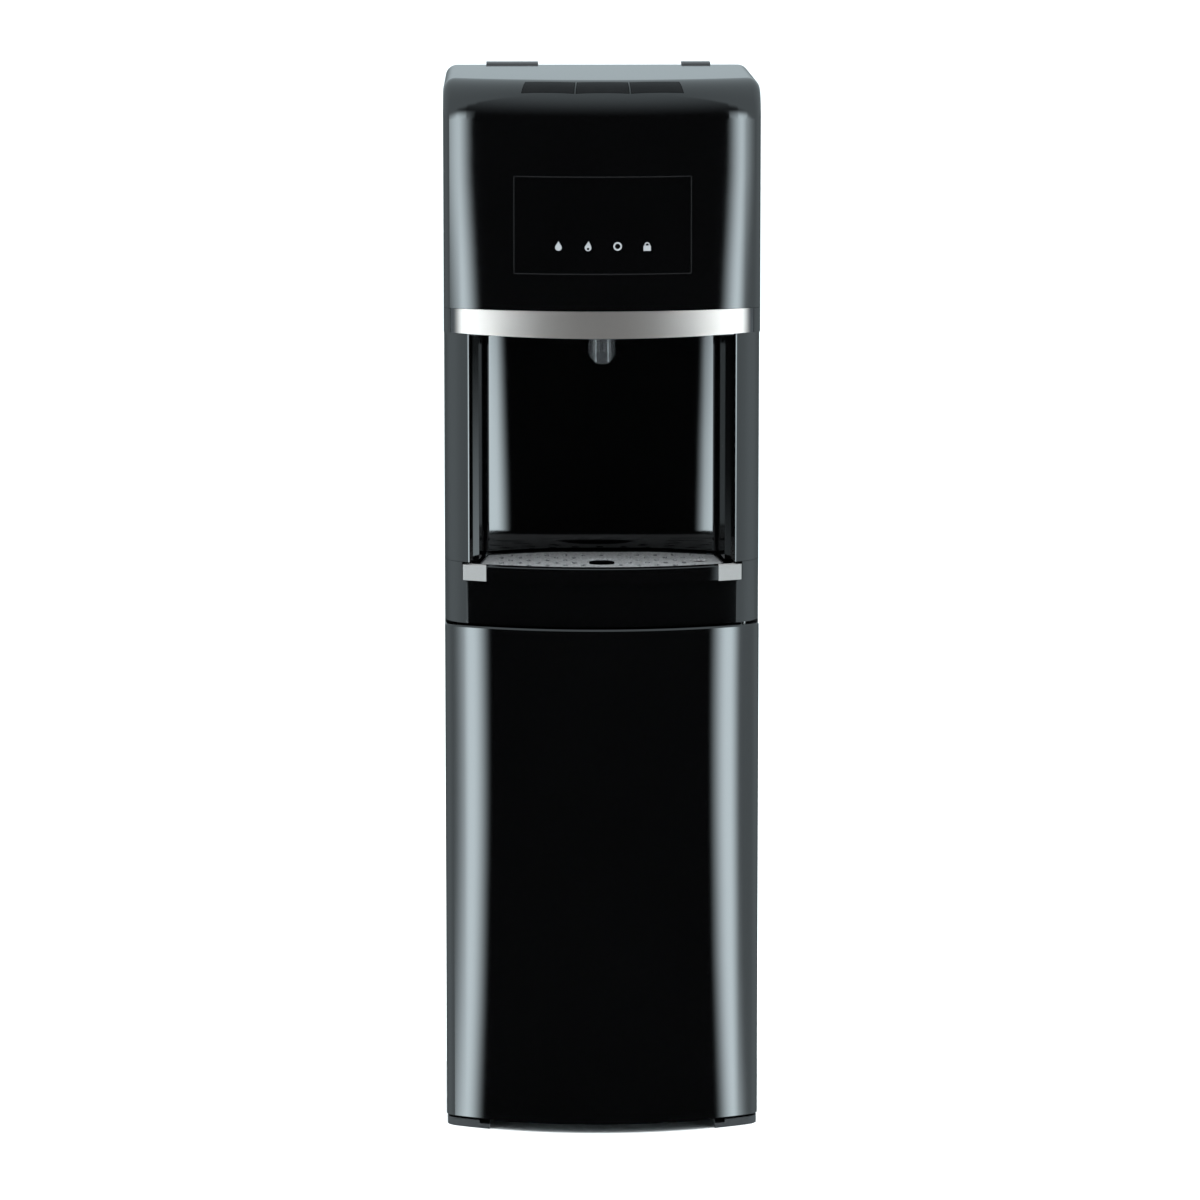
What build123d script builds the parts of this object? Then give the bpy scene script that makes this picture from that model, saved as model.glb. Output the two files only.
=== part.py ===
from build123d import *
import math
import os

# Bottom-load water dispenser. Millimetres, +Z up, front towards -Y, +X to the right seen from the front.
# The origin is the middle of the footprint at floor level.

# ---- driving dimensions ----
WIDTH = 310.0
DEPTH = 360.0
TOP_Z = 1040.0
BOW = 42.0  # how far the middle of the front stands out from its ends
WALL = 3.0  # moulded plastic walls
SHEET = 1.0  # steel sheet
GAP = 0.3  # between moulded pieces
LIP_PROUD = 1.5  # the tray's lip stands this far out of the bowed front

HALF = WIDTH / 2
FRONT_Y = -DEPTH / 2 + LIP_PROUD  # foremost line of the bowed front
REAR_Y = DEPTH / 2  # wall spacers reach this plane
BOW_R = (HALF**2 + BOW**2) / (2 * BOW)
BOW_Y = FRONT_Y + BOW_R  # the bow is an arc about a vertical line at x = 0, y = BOW_Y

PANEL_Y = 150.0  # outside of the rear panel
FLANGE = 12.0
SIDE_IN = HALF - SHEET  # inside of the side panels

# heights
FOOT_TOP_Z = 4.8
BASE_TOP_Z = 14.0
FOOT_DEPTH = 20.0  # the front feet reach this far behind the frame's front plane
DOOR_Z = (9.0, 505.0)
HOUSING_Z = (507.0, 568.0)
BAND_Z = (794.0, 817.5)
PANEL_TOP_Z = 1008.0
DECK_Z = 512.0
SHELF_Z = 760.0

# door hinge: the pin is the centre of the door's rounded right-hand edge
HINGE_R = 16.0
HINGE_X = HALF - HINGE_R
HINGE_Y = BOW_Y - math.sqrt((BOW_R - HINGE_R) ** 2 - HINGE_X**2)
DOOR_BACK_Y = HINGE_Y + HINGE_R
PIN_R = 3.0
DOOR_FOOT_CHAMFER = 1.6
PIN_CLEARANCE = 0.05
DISH_DEEP = 30.0  # hollow of the door's inner liner

# planes behind the door
FRAME_Y = DOOR_BACK_Y + 1.5  # front plane of the steel cabinet
MOULD_BACK_Y = FRAME_Y - 0.2  # front mouldings end just ahead of it

# front mouldings
HEAD_CORNER_R = 12.0  # vertical corners of the head
TOP_R = 38.0  # rounding of the head's front into the top
COLUMN_IN = 130.5  # the alcove opens between the columns
COLUMN_R = 41.0  # vertical corners of the columns and the tray housing
HOUSING_LEAN = 5.0  # the tray housing's front draws in this much towards its foot

# push keys on the rounded top edge
KEY_ANGLE = 59.0  # elevation of their outward normal
KEY_WIDTH = 50.0
KEY_HEIGHT = 18.0
KEY_RIB = 1.4
KEY_TRAVEL = 2.5
KEY_GAP = 0.45
KEY_STEM_DEPTH = 11.5  # end of the key's stem below its face
KEY_R = BOW_R - TOP_R * (1 - math.cos(math.radians(KEY_ANGLE)))  # from the bow's axis to the keys' middle
KEY_STEP = math.degrees((KEY_WIDTH + 2 * KEY_GAP + KEY_RIB) / KEY_R)

# display
WINDOW_HALF = 87.0
WINDOW_Z = (853.0, 949.0)
WINDOW_DEEP = 1.5
ICON_PITCH = 28.7
ICON_Z = 881.0
ICON_PROUD = 0.25

# trim band
BAND_HALF = 148.0
BAND_PROUD = 0.6
BAND_SAG = 3.0

# alcove
ALCOVE_FRONT_Y = -137.3
ALCOVE_LIP = (127.0, -131.5)  # a narrow band runs from here to the shoulder
ALCOVE_SHOULDER = (121.0, -129.0)
ALCOVE_BACK = (115.0, -71.0)
ALCOVE_MIDDLE_Y = -42.5  # the back wall is hollowed to this line
ALCOVE_R = 8.0
ALCOVE_WALL = 2.5

# nozzle
NOZZLE_Y = -118.0
HOOD_HALF = 13.5
HOOD_LENGTH = 38.0
HOOD_Z = 762.0
HOOD_WALL = 1.8
SPOUT_X = 5.2
SPOUT_R = 3.6
SPOUT_BORE = 2.4

# drip tray
TRAY_Z = (550.5, 565.5)
TRAY_HALF = 128.5
TRAY_BACK_Y = -38.0
TRAY_WALL = 2.0
TRAY_LEDGE_Z = 562.6
LIP_HALF = 137.0
LIP_DEEP = 9.5
LIP_END = 114.0  # silver ends run from here to LIP_HALF
GRILLE_TOP_Z = 564.6
GRILLE_BACK_Y = -50.0
GRILLE_HALF = 119.5
GRILLE_SLOT = (44.0, 25.0)  # opening under the spouts
DISH_RIM = 3.0  # dished edge around the grille's two openings
DISH_SINK = 1.4
TRAY_TRAVEL = 120.0
FLOAT_XY = (97.0, -112.0)
FLOAT_R = 5.5
FLOAT_HOLE_R = 8.0
FLOAT_RISE = 5.0

# bottle compartment
ROOM_HALF = 139.5
ROOM_BACK_Y = 138.0
ROOM_Z = (BASE_TOP_Z, 503.0)
LINER_WALL = 2.5

# bottle probe, parked in the rear left corner
PROBE_XY = (-110.0, 108.5)
PROBE_CAP_Z = (330.0, 370.0)
PROBE_LIFT = 40.0
PROBE_CAP_R = 28.0
HOSE_R = 5.0

# rear services
SWITCH_Z = 972.0
SWITCH_X = (-112.0, -82.0)
SWITCH_PIVOT_Y = 149.5
SWITCH_PIN_R = 2.0
DRAIN_X = (60.0, 105.0)
SERVICE_Z = 542.0
GLAND_X = -112.0
CORD_R = 3.6
COIL_Y = 165.0
COIL_R = 2.4
COIL_Z = 598.0
COIL_PITCH = 33.0
COIL_PASSES = 11
COIL_HALF = 112.0
WIRE_R = 0.8
WIRE_PITCH = 10.0


# ---- helpers ----
def block(x, y, z):
    """Box between two corners given as (low, high) pairs."""
    centre = ((x[0] + x[1]) / 2, (y[0] + y[1]) / 2, (z[0] + z[1]) / 2)
    return Pos(*centre) * Box(x[1] - x[0], y[1] - y[0], z[1] - z[0])


def rod(centre, radius, z):
    return Pos(centre[0], centre[1], (z[0] + z[1]) / 2) * Cylinder(radius, z[1] - z[0])


def rod_y(x, z, radius, y):
    return Pos(x, (y[0] + y[1]) / 2, z) * Rot(90, 0, 0) * Cylinder(radius, y[1] - y[0])


def rod_x(y, z, radius, x):
    return Pos((x[0] + x[1]) / 2, y, z) * Rot(0, 90, 0) * Cylinder(radius, x[1] - x[0])


def mirrored(shape):
    return mirror(shape, about=Plane.YZ)


def both(shape):
    """A piece and its mirror image across the middle of the object."""
    return Compound(children=[*shape.solids(), *mirrored(shape).solids()])


def group(shapes):
    return Compound(children=[solid for shape in shapes for solid in shape.solids()])


def upright_edges(shape, front=True):
    edges = shape.edges().filter_by(Axis.Z).group_by(Axis.Y)
    return edges[0] if front else edges[-1]


def front_block(inset, half, back_y, z, corner=0.0):
    """Everything behind the bowed front, between two heights; inset moves the bow inwards."""
    drum = rod((0, BOW_Y), BOW_R - inset, z)
    solid = drum & block((-half, half), (FRONT_Y + inset - 1, back_y), z)
    if corner > 0:
        solid = fillet(upright_edges(solid), corner)
    return solid


def leaning_block(inset, half, back_y, z, corner):
    """As front_block, but the bow leans back towards its foot."""
    height = z[1] - z[0]
    outside = BOW_R - inset
    cone = Pos(0, BOW_Y, (z[0] + z[1]) / 2) * Cone(outside - HOUSING_LEAN, outside, height)
    solid = cone & block((-half, half), (FRONT_Y + inset - 1, back_y), z)
    side_edges = [edge for edge in solid.edges() if abs(abs(edge.position_at(0.5).X) - half) < 0.01]
    upright = [edge for edge in side_edges if abs(edge.position_at(0.5).Z - (z[0] + z[1]) / 2) < 1]
    front = sorted(upright, key=lambda edge: edge.position_at(0.5).Y)[:2]
    return fillet(front, corner)


def front_strip(inner, outer, half, z):
    """A strip of the bowed front between two insets."""
    drum = rod((0, BOW_Y), BOW_R - outer, z) - rod((0, BOW_Y), BOW_R - inner, z)
    return drum & block((-half, half), (FRONT_Y - 5, FRAME_Y), z)


def head_form(inset):
    """The head: bowed front rounded into the flat top, with softened side edges. Its foot is cut to length later."""
    top = TOP_Z - inset
    bottom_z = BAND_Z[0] - inset
    drum = rod((0, BOW_Y), BOW_R - inset, (bottom_z, top))
    drum = fillet(drum.edges().filter_by(GeomType.CIRCLE).group_by(Axis.Z)[-1], TOP_R - inset)
    half = HALF - inset
    form = drum & block((-half, half), (FRONT_Y - 1, PANEL_Y - inset), (bottom_z, top + 1))
    side_edges = []
    for edge in form.edges():
        middle = edge.position_at(0.5)
        on_side = abs(abs(middle.X) - half) < 0.01
        if on_side and middle.Z > bottom_z + 0.5 and middle.Y < PANEL_Y - inset - 0.5:
            side_edges.append(edge)
    return fillet(side_edges, HEAD_CORNER_R - inset)


def about_bow(degrees_turned, shape):
    """Turns a piece about the bow's own axis, so that it keeps its fit with the bowed front."""
    turn = Pos(0, BOW_Y, 0) * Rot(0, 0, degrees_turned) * Pos(0, -BOW_Y, 0)
    return turn * shape


def key_plane():
    """On the rounded top edge, x to the right and z outwards."""
    angle = math.radians(KEY_ANGLE)
    outward = (0, -math.cos(angle), math.sin(angle))
    point = (0, FRONT_Y + TOP_R * (1 - math.cos(angle)), TOP_Z - TOP_R * (1 - math.sin(angle)))
    return Plane(origin=point, x_dir=(1, 0, 0), z_dir=outward)


def key_space(grow):
    """The middle key's place through the moulding: level at top and foot, its sides pointing at the bow's axis."""
    slab = key_plane() * (Pos(0, 0, -1) * Box(2 * KEY_WIDTH, KEY_HEIGHT + 2 * grow, 14))
    near, far = KEY_R - 30, KEY_R + 30
    near_half = near * KEY_WIDTH / (2 * KEY_R) + grow
    far_half = far * KEY_WIDTH / (2 * KEY_R) + grow
    sector = Polyline(
        (-near_half, BOW_Y - near), (near_half, BOW_Y - near), (far_half, BOW_Y - far), (-far_half, BOW_Y - far), close=True
    )
    return slab & extrude(Pos(0, 0, TOP_Z - 60) * make_face(sector), 80)


def key_turns():
    return (KEY_STEP * side for side in (-1, 0, 1))


def hose(points, radius, bend, bore=0.0):
    """Round tube along straight runs joined by tangent arcs."""
    path = FilletPolyline(*points, radius=bend)
    start = Plane(origin=path @ 0, z_dir=path % 0)
    profile = Circle(radius) - Circle(bore) if bore > 0 else Circle(radius)
    return sweep(start * profile, path=path)


# ---- cabinet ----
def make_base_pan():
    pan = block((-SIDE_IN + GAP, SIDE_IN - GAP), (FRAME_Y, PANEL_Y - SHEET - GAP), (FOOT_TOP_Z, BASE_TOP_Z))
    hollow = block((-140, 140), (FRAME_Y + 12, 136), (FOOT_TOP_Z, BASE_TOP_Z - WALL))
    ribs = [block((x - 1.5, x + 1.5), (FRAME_Y + 10, 138), (FOOT_TOP_Z, BASE_TOP_Z)) for x in (-80, 0, 80)]
    ear = front_block(1.0, HALF - 1, FRAME_Y + 0.1, (FOOT_TOP_Z, DOOR_Z[0] - 1), HINGE_R)
    ears = [ear & block(side, (FRONT_Y, FRAME_Y + 0.1), (0, DOOR_Z[0])) for side in ((-154, -122), (122, 154))]
    pan = pan - hollow + ribs + ears
    skirt_z = (FOOT_TOP_Z + 3, BASE_TOP_Z - GAP)
    skirt = block((-HALF, HALF), (FRAME_Y, PANEL_Y), skirt_z)
    skirt -= block((-SIDE_IN + 1, SIDE_IN - 1), (FRAME_Y - 1, PANEL_Y - 2), (FOOT_TOP_Z, BASE_TOP_Z))
    pan += skirt
    return pan - rod((HINGE_X, HINGE_Y), 5.5, (0, DOOR_Z[0]))


def make_corner_feet():
    back_y = FRAME_Y + FOOT_DEPTH
    foot = front_block(1.0, HALF - 1, back_y, (0, FOOT_TOP_Z), HINGE_R)
    foot &= block((112, HALF), (FRONT_Y, back_y), (0, FOOT_TOP_Z))
    rear = fillet(block((122, HALF - 1), (110, 142), (0, FOOT_TOP_Z)).edges().filter_by(Axis.Z), 8)
    return both(group([foot, rear]))


def make_side_panel():
    """Right-hand panel; the left one is its mirror image."""
    sheet = block((SIDE_IN, HALF), (FRAME_Y, PANEL_Y - SHEET), (BASE_TOP_Z, PANEL_TOP_Z))
    front = block((HALF - FLANGE, HALF), (FRAME_Y, FRAME_Y + SHEET), (BASE_TOP_Z, PANEL_TOP_Z))
    rear = block((HALF - FLANGE, HALF), (PANEL_Y - 2 * SHEET, PANEL_Y - SHEET), (BASE_TOP_Z, PANEL_TOP_Z))
    return sheet + front + rear


def make_rear_panel():
    panel = block((-HALF, HALF), (PANEL_Y - SHEET, PANEL_Y), (BASE_TOP_Z, PANEL_TOP_Z))
    slots = [
        block((x, x + 44), (PANEL_Y - 5, PANEL_Y + 5), (z, z + 4))
        for x in (-132, -76, 32, 88)
        for z in range(610, 731, 12)
    ]
    holes = [rod_y(x, SERVICE_Z, 8.3, (PANEL_Y - 5, PANEL_Y + 5)) for x in (*DRAIN_X, GLAND_X)]
    holes += [rod_y(x, z, COIL_R + 0.8, (PANEL_Y - 5, PANEL_Y + 5)) for x, z in coil_ends()]
    window = block((SWITCH_X[0] - 17, SWITCH_X[1] + 17), (PANEL_Y - 5, PANEL_Y + 5), (SWITCH_Z - 17, SWITCH_Z + 17))
    return panel - slots - holes - window


def make_top_cover():
    cover = head_form(0) - head_form(WALL)
    return cover & block((-HALF, HALF), (FRAME_Y, PANEL_Y), (PANEL_TOP_Z + GAP, TOP_Z))


def make_wall_spacer(x):
    body = block(x, (PANEL_Y, REAR_Y), (TOP_Z - 34, TOP_Z + 2))
    body = fillet(body.edges().filter_by(Axis.X), 3)
    lightening = block((x[0] + 3, x[1] - 3), (PANEL_Y + 4, REAR_Y - 4), (TOP_Z - 40, TOP_Z))
    return body - lightening


def make_mid_deck():
    deck = block((-SIDE_IN + GAP, SIDE_IN - GAP), (-28, PANEL_Y - 2.5), (DECK_Z, DECK_Z + 1.5))
    rim = block((-SIDE_IN + GAP, SIDE_IN - GAP), (-28, -26.5), (DECK_Z, DECK_Z + 16))
    rim += block((-140, 140), (PANEL_Y - 4, PANEL_Y - 2.5), (DECK_Z, DECK_Z + 12))
    holes = [rod_y(x, SERVICE_Z, 9, (130, 160)) for x in (*DRAIN_X, GLAND_X)]
    return deck + rim - holes - rod(PROBE_XY, HOSE_R + 3, (DECK_Z - 1, DECK_Z + 5))


def make_tank_shelf():
    shelf = block((-SIDE_IN + GAP, SIDE_IN - GAP), (-26, PANEL_Y - 2.5), (SHELF_Z, SHELF_Z + 1.5))
    for side in (-SIDE_IN + GAP, SIDE_IN - GAP - 1.5):
        shelf += block((side, side + 1.5), (-26, PANEL_Y - 2.5), (SHELF_Z - 14, SHELF_Z + 1.5))
    return shelf - rod((112, -8), 8, (SHELF_Z - 1, SHELF_Z + 3))


# ---- head ----
def make_upper_fascia():
    panel = head_form(0) - head_form(WALL)
    panel &= block((-HALF, HALF), (FRONT_Y, MOULD_BACK_Y), (BAND_Z[1] + GAP, TOP_Z))
    window = block(
        (-WINDOW_HALF - 0.2, WINDOW_HALF + 0.2), (FRONT_Y - 1, -100), (WINDOW_Z[0] - 0.2, WINDOW_Z[1] + 0.2)
    )
    panel -= front_strip(WINDOW_DEEP + 0.1, -2, HALF, (BAND_Z[1], TOP_Z)) & window
    for turn in key_turns():
        opening = key_space(KEY_GAP)
        posts = [key_plane() * (Pos(0, y, -11) * Box(8, 2, 14)) for y in (-12.5, 12.5)]
        panel = panel - about_bow(turn, opening) + [about_bow(turn, post) for post in posts]
    return panel


def make_key(turn):
    cap = head_form(0) - head_form(WALL)
    cap &= about_bow(turn, key_space(0))
    stem = key_plane() * (Pos(0, 0, 4.5 - KEY_STEM_DEPTH) * Box(7, 7, 9))
    return cap + about_bow(turn, stem)


def make_key_switches():
    reach = -KEY_STEM_DEPTH - KEY_TRAVEL - 0.2
    plunger = Pos(0, 0, reach - 0.4) * Cylinder(1.6, 0.8)
    switch = Pos(0, 0, reach - 2.4) * Box(12, 10, 3.4)
    board = Pos(0, 0, reach - 5.0) * Box(40, 28, 1.8)
    unit = key_plane() * (board + switch + plunger)
    return group([about_bow(turn, unit) for turn in key_turns()])


def make_display_window():
    lens = front_strip(WINDOW_DEEP, 0, WINDOW_HALF, WINDOW_Z)
    corners = lens.edges().filter_by(Axis.Y)
    return fillet(corners, 2) if corners else lens


def icon_outline(index):
    """Four plain marks: drop, flame, ring and padlock, each about 9 mm high, drawn about its middle."""
    if index == 0:
        bowl = Pos(0, -1.2) * Circle(3.2)
        return bowl + make_face(Polyline((-2.9, 0.2), (0, 4.8), (2.9, 0.2), close=True))
    if index == 1:
        flame = Pos(0, -1.4) * Circle(3.2)
        flame += make_face(Polyline((-3.2, -1.0), (-1.4, 2.2), (0.6, 5.0), (3.0, 0.4), close=True))
        return flame - Pos(0, -2.4) * Circle(1.2)
    if index == 2:
        return Circle(4.2) - Circle(2.6)
    shackle = Pos(0, 1.2) * (Circle(2.6) - Circle(1.5))
    return shackle + Pos(0, -2.0) * Rectangle(7.2, 5.2)


def make_display_icons():
    shell = front_strip(0, -ICON_PROUD, HALF, WINDOW_Z)
    marks = []
    for index in range(4):
        x = (index - 1.5) * ICON_PITCH
        face = Plane(origin=(x, FRONT_Y - 3, ICON_Z), x_dir=(1, 0, 0), z_dir=(0, -1, 0)) * icon_outline(index)
        marks.append(extrude(face, -14) & shell)
    return group(marks)


def make_display_board():
    board = block((-80, 80), (-152, -150.4), (WINDOW_Z[0] + 2, WINDOW_Z[1] - 2))
    chips = [block((x, x + 14), (-150.4, -147.4), (900, 912)) for x in (-60, -20, 30)]
    lamps = [rod_y((i - 1.5) * ICON_PITCH, ICON_Z, 2.5, (-168, -152)) for i in range(4)]
    posts = [block((x - 3, x + 3), (-165.5, -152), (936, 942)) for x in (-70, 70)]
    return board + chips + lamps + posts


def band_outline(grow):
    """Front view of the trim band: straight top, sagging lower edge."""
    half = BAND_HALF + grow
    ends_z = BAND_Z[0] - grow
    top = Line((half, BAND_Z[1]), (-half, BAND_Z[1]))
    left = Line((-half, BAND_Z[1]), (-half, ends_z))
    lower = ThreePointArc((-half, ends_z), (0, ends_z - BAND_SAG), (half, ends_z))
    right = Line((half, ends_z), (half, BAND_Z[1]))
    face = make_face(Curve() + [top, left, lower, right])
    return extrude(Plane(origin=(0, -100, 0), x_dir=(1, 0, 0), z_dir=(0, -1, 0)) * face, 100)


def make_trim_band():
    strip = front_strip(2.4, -BAND_PROUD, HALF, (BAND_Z[0] - 6, BAND_Z[1]))
    return strip & band_outline(0)


# ---- alcove ----
def make_side_columns():
    """Each column has a head that follows the upper panel and carries the end of the trim band."""
    z = (HOUSING_Z[1] + GAP, BAND_Z[1])
    neck_z = BAND_Z[0] - GAP
    shaft = front_block(0, HALF, MOULD_BACK_Y, (z[0], neck_z), COLUMN_R)
    head = front_block(0, HALF, MOULD_BACK_Y, (neck_z, z[1]), HEAD_CORNER_R)
    column = (shaft + head) & block((COLUMN_IN, HALF), (FRONT_Y, 0), z)
    inner = front_block(WALL, HALF - WALL, MOULD_BACK_Y + 1, (z[0] - 1, neck_z - WALL), COLUMN_R - WALL)
    inner += front_block(WALL + 2.6, HALF - WALL, MOULD_BACK_Y + 1, (neck_z, z[1] + 1), HEAD_CORNER_R - WALL)
    column -= inner & block((COLUMN_IN + 2, HALF), (FRONT_Y, 0), (z[0] - 1, z[1] + 1))
    column -= block((COLUMN_IN - 1, COLUMN_IN + 2.5), (ALCOVE_FRONT_Y - 0.2, 0), (z[0] - 1, z[1] + 1))
    column -= band_outline(GAP) & front_strip(2.6, -3, HALF, (BAND_Z[0] - 8, BAND_Z[1] + 1))
    return both(column)


def alcove_plan(inset, front_y):
    """Plan of the alcove: flared mouth, walls with a slight taper, and a back wall hollowed to an arc."""
    mouth = (COLUMN_IN - inset, front_y)
    lip = (ALCOVE_LIP[0] - inset, ALCOVE_LIP[1])
    shoulder = (ALCOVE_SHOULDER[0] - inset, ALCOVE_SHOULDER[1])
    back = (ALCOVE_BACK[0] - inset, ALCOVE_BACK[1] - inset)
    right = Polyline(mouth, lip, shoulder, back)
    left = Polyline(*[(-x, y) for x, y in (back, shoulder, lip, mouth)])
    hollow = ThreePointArc(back, (0, ALCOVE_MIDDLE_Y - inset), (-back[0], back[1]))
    face = make_face(Curve() + [right, hollow, left, Line((-mouth[0], mouth[1]), mouth)])
    back_corners = [corner for corner in face.vertices() if abs(corner.Y - back[1]) < 0.01]
    return fillet(back_corners, ALCOVE_R - inset)


def make_alcove_liner():
    low = HOUSING_Z[1] + GAP
    top = BAND_Z[0] + WALL
    shell = extrude(Pos(0, 0, low) * alcove_plan(-ALCOVE_WALL, ALCOVE_FRONT_Y), top - low)
    outer = shell & block((-COLUMN_IN + GAP, COLUMN_IN - GAP), (ALCOVE_FRONT_Y, 0), (low, top))
    inner = extrude(Pos(0, 0, low - 1) * alcove_plan(0, ALCOVE_FRONT_Y), BAND_Z[0] - low + 1)
    liner = outer - inner
    ceiling_z = (BAND_Z[0], top)
    liner += front_block(5.2, COLUMN_IN - 0.3, ALCOVE_FRONT_Y + 0.5, ceiling_z)
    liner += front_strip(5.2, 2.7, COLUMN_IN - 0.3, (BAND_Z[0] - 2, BAND_Z[1]))
    for x in (-SPOUT_X, SPOUT_X):
        liner -= rod((x, NOZZLE_Y), SPOUT_R + 0.05, (BAND_Z[0] - 1, BAND_Z[0] + 4))
    return liner


def hood_form(half, length, bottom_z):
    """Upright slot shape in plan whose lower end is rounded in front view."""
    plan = extrude(Pos(0, NOZZLE_Y, bottom_z) * SlotOverall(length, 2 * half, rotation=90), BAND_Z[0] - bottom_z)
    arch = rod_y(0, bottom_z + half, half, (-170, -60))
    arch += block((-half, half), (-170, -60), (bottom_z + half, BAND_Z[0]))
    return plan & arch


def make_nozzle_hood():
    inner = hood_form(HOOD_HALF - HOOD_WALL, HOOD_LENGTH - 2 * HOOD_WALL, HOOD_Z + HOOD_WALL)
    mouth = rod((0, NOZZLE_Y), 8.5, (HOOD_Z - 1, HOOD_Z + 12))
    return hood_form(HOOD_HALF, HOOD_LENGTH, HOOD_Z) - inner - mouth


def make_water_spouts():
    spouts = []
    for x in (-SPOUT_X, SPOUT_X):
        tube = rod((x, NOZZLE_Y), SPOUT_R, (HOOD_Z + 10, 812))
        tube += rod((x, NOZZLE_Y), 4.6, (BAND_Z[0] + WALL, BAND_Z[0] + WALL + 2))
        spouts.append(tube - rod((x, NOZZLE_Y), SPOUT_BORE, (HOOD_Z, 820)))
    return group(spouts)


def make_solenoid_valves():
    valves = []
    for x in (-34, 34):
        body = block((x - 9, x + 9), (NOZZLE_Y - 10, NOZZLE_Y + 10), (BAND_Z[0] + WALL, 819))
        coil = rod((x, NOZZLE_Y), 10, (819, 848))
        barb = rod_x(NOZZLE_Y, 806, 3.4, (x - 16, x) if x > 0 else (x, x + 16))
        valves.append(body + coil + barb)
    return group(valves)


def make_spout_hoses():
    hoses = []
    for side in (-1, 1):
        start = (side * 34, NOZZLE_Y + 10, 808)
        route = [start, (side * 34, -80, 808), (side * 60, -40, 835), (side * 60, -22, 835)]
        hoses.append(hose(route, 4, 12, 2.6))
    return group(hoses)


# ---- tray ----
def make_tray_housing():
    z = HOUSING_Z
    solid = leaning_block(0, HALF, MOULD_BACK_Y, z, COLUMN_R)
    solid += block((-142, 142), (MOULD_BACK_Y - 5, -30), z)
    inner_z = (z[0] - 1, TRAY_Z[0] - 4)
    inner_wall = HOUSING_LEAN + WALL
    hollow = front_block(inner_wall, HALF - WALL, MOULD_BACK_Y + 1, inner_z, COLUMN_R - inner_wall)
    hollow += block((-139, 139), (MOULD_BACK_Y - 5, -33), (z[0] - 1, TRAY_Z[0] - 4))
    pocket = block((-TRAY_HALF - 0.7, TRAY_HALF + 0.7), (FRONT_Y - 5, TRAY_BACK_Y + 0.7), (TRAY_Z[0] - 0.5, z[1] + 1))
    notch = block((-LIP_HALF - 0.7, LIP_HALF + 0.7), (FRONT_Y - 5, ALCOVE_FRONT_Y + 2.9), (TRAY_Z[0] - 0.5, z[1] + 1))
    rails = block((-139, -TRAY_HALF - 3), (ALCOVE_FRONT_Y + 4.3, -33), (z[0] - 1, z[1] - 3))
    return solid - hollow - pocket - notch - rails - mirrored(rails)


def tray_form(inset, z):
    """Tray basin: bowed front, straight sides, round back corners."""
    form = front_block(LIP_DEEP + inset, TRAY_HALF - inset, TRAY_BACK_Y - inset, z)
    form = fillet(upright_edges(form, front=False), 14 - inset)
    return fillet(upright_edges(form), 6 - inset)


def grille_plan(inset, z):
    """Plate outline: follows the alcove walls with a margin and the bow at the front."""
    length = z[1] - z[0]
    form = extrude(Pos(0, 0, z[0]) * alcove_plan(2.5 + inset, FRONT_Y - 20), length)
    form &= front_block(LIP_DEEP + 3 + inset, GRILLE_HALF - inset, GRILLE_BACK_Y - inset, z)
    return fillet(upright_edges(form), 9)


def make_drip_tray():
    low, high = TRAY_Z
    tray = tray_form(0, TRAY_Z) - tray_form(TRAY_WALL, (low + 1.6, high + 1))
    rim = tray_form(0.5, (TRAY_LEDGE_Z - 1.4, high)) - grille_plan(-0.4, (TRAY_LEDGE_Z, high + 1))
    ledge = grille_plan(4, (low, high + 1))
    tray += rim - ledge
    lip = front_strip(LIP_DEEP + 1, -LIP_PROUD, LIP_END - 0.1, (low, high))
    lip = chamfer(lip.edges().group_by(Axis.Y)[0], 0.8)
    pin = rod(FLOAT_XY, 1.5, (low, low + 9))
    return tray + lip + pin


def make_tray_trim_ends():
    end = front_strip(LIP_DEEP - 0.1, -LIP_PROUD, LIP_HALF, TRAY_Z) & block((LIP_END, LIP_HALF), (-190, 0), TRAY_Z)
    outer_edges = end.edges().filter_by(Axis.Z).sort_by(Axis.X)[-2:].sort_by(Axis.Y)[:1]
    return both(fillet(outer_edges, 4))


def make_drip_grille():
    z = (TRAY_LEDGE_Z, GRILLE_TOP_Z)
    plate = grille_plan(0, z)
    plate = chamfer(plate.edges().group_by(Axis.Z)[-1], 0.5)
    holes = []
    pitch = 18.0
    for row, y in enumerate((-146, -128, -110, -92, -74)):
        for column in range(-6, 7):
            x = (column + (0.5 if row % 2 else 0)) * pitch
            near_middle = math.hypot(x, (y - NOZZLE_Y) * 0.7) < 26
            near_float = math.hypot(x - FLOAT_XY[0], y - FLOAT_XY[1]) < 20
            if abs(x) < 106 and not near_middle and not near_float:
                hole = Pos(x, y, z[0] - 1) * SlotOverall(12, 5, rotation=90)
                holes.append(extrude(hole, 4))
    length, width = GRILLE_SLOT
    holes.append(extrude(Pos(0, NOZZLE_Y, z[0] - 1) * SlotOverall(length, width, rotation=90), 5))
    mouth = Pos(0, NOZZLE_Y, z[1]) * SlotOverall(length + 2 * DISH_RIM, width + 2 * DISH_RIM, rotation=90)
    foot = Pos(0, NOZZLE_Y, z[1] - DISH_SINK) * SlotOverall(length, width, rotation=90)
    holes.append(loft([mouth, foot]))
    holes.append(rod(FLOAT_XY, FLOAT_HOLE_R, (z[0] - 1, z[1] + 1)))
    dish = Cone(FLOAT_HOLE_R, FLOAT_HOLE_R + DISH_RIM, DISH_SINK)
    holes.append(Pos(*FLOAT_XY, z[1] - DISH_SINK / 2) * dish)
    return plate - holes


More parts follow.
